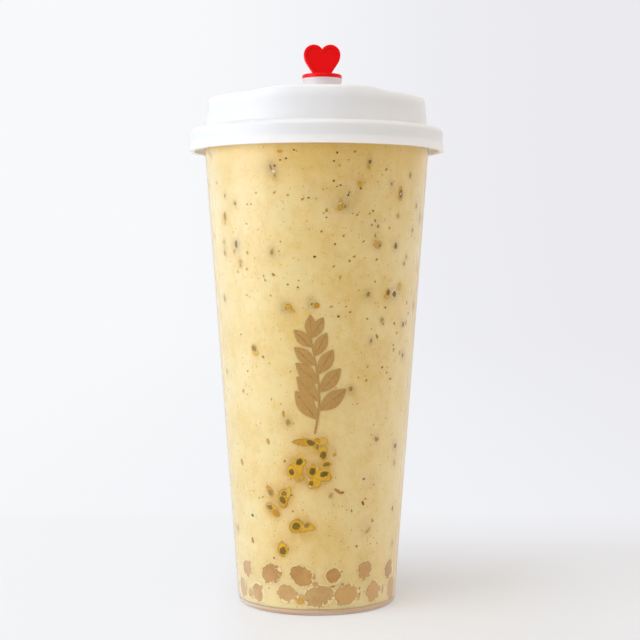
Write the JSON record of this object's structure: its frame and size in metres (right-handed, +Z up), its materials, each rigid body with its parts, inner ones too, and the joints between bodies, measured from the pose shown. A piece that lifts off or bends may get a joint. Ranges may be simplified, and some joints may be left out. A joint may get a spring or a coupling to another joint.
{
  "type": "milkshake in a takeaway cup",
  "caption": "Tall clear takeaway cup full of pale yellow fruit milkshake with tapioca pearls, closed by a white lid with a red heart-shaped plug.",
  "frame": {"origin": "middle of the foot ring, on the plane the cup stands on", "axes": "+Z up along the cup, -Y to the front, where the plug is"},
  "size_m": [0.0974, 0.0974, 0.2087],
  "materials": {
    "cup": "clear moulded polypropylene",
    "milkshake": "thick pale yellow fruit drink",
    "pearls": "soft cooked tapioca",
    "lid": "white moulded polypropylene",
    "plug": "red moulded polypropylene",
    "print": "thin brown printed ink",
    "seeds": "dark wet fruit seeds",
    "pulp": "wet orange fruit pulp"
  },
  "bodies": {
    "root": {"cup": "cup", "milkshake": "milkshake", "pearl_bed": "pearls", "lid": "lid", "plug": "plug"}
  },
  "joints": []
}
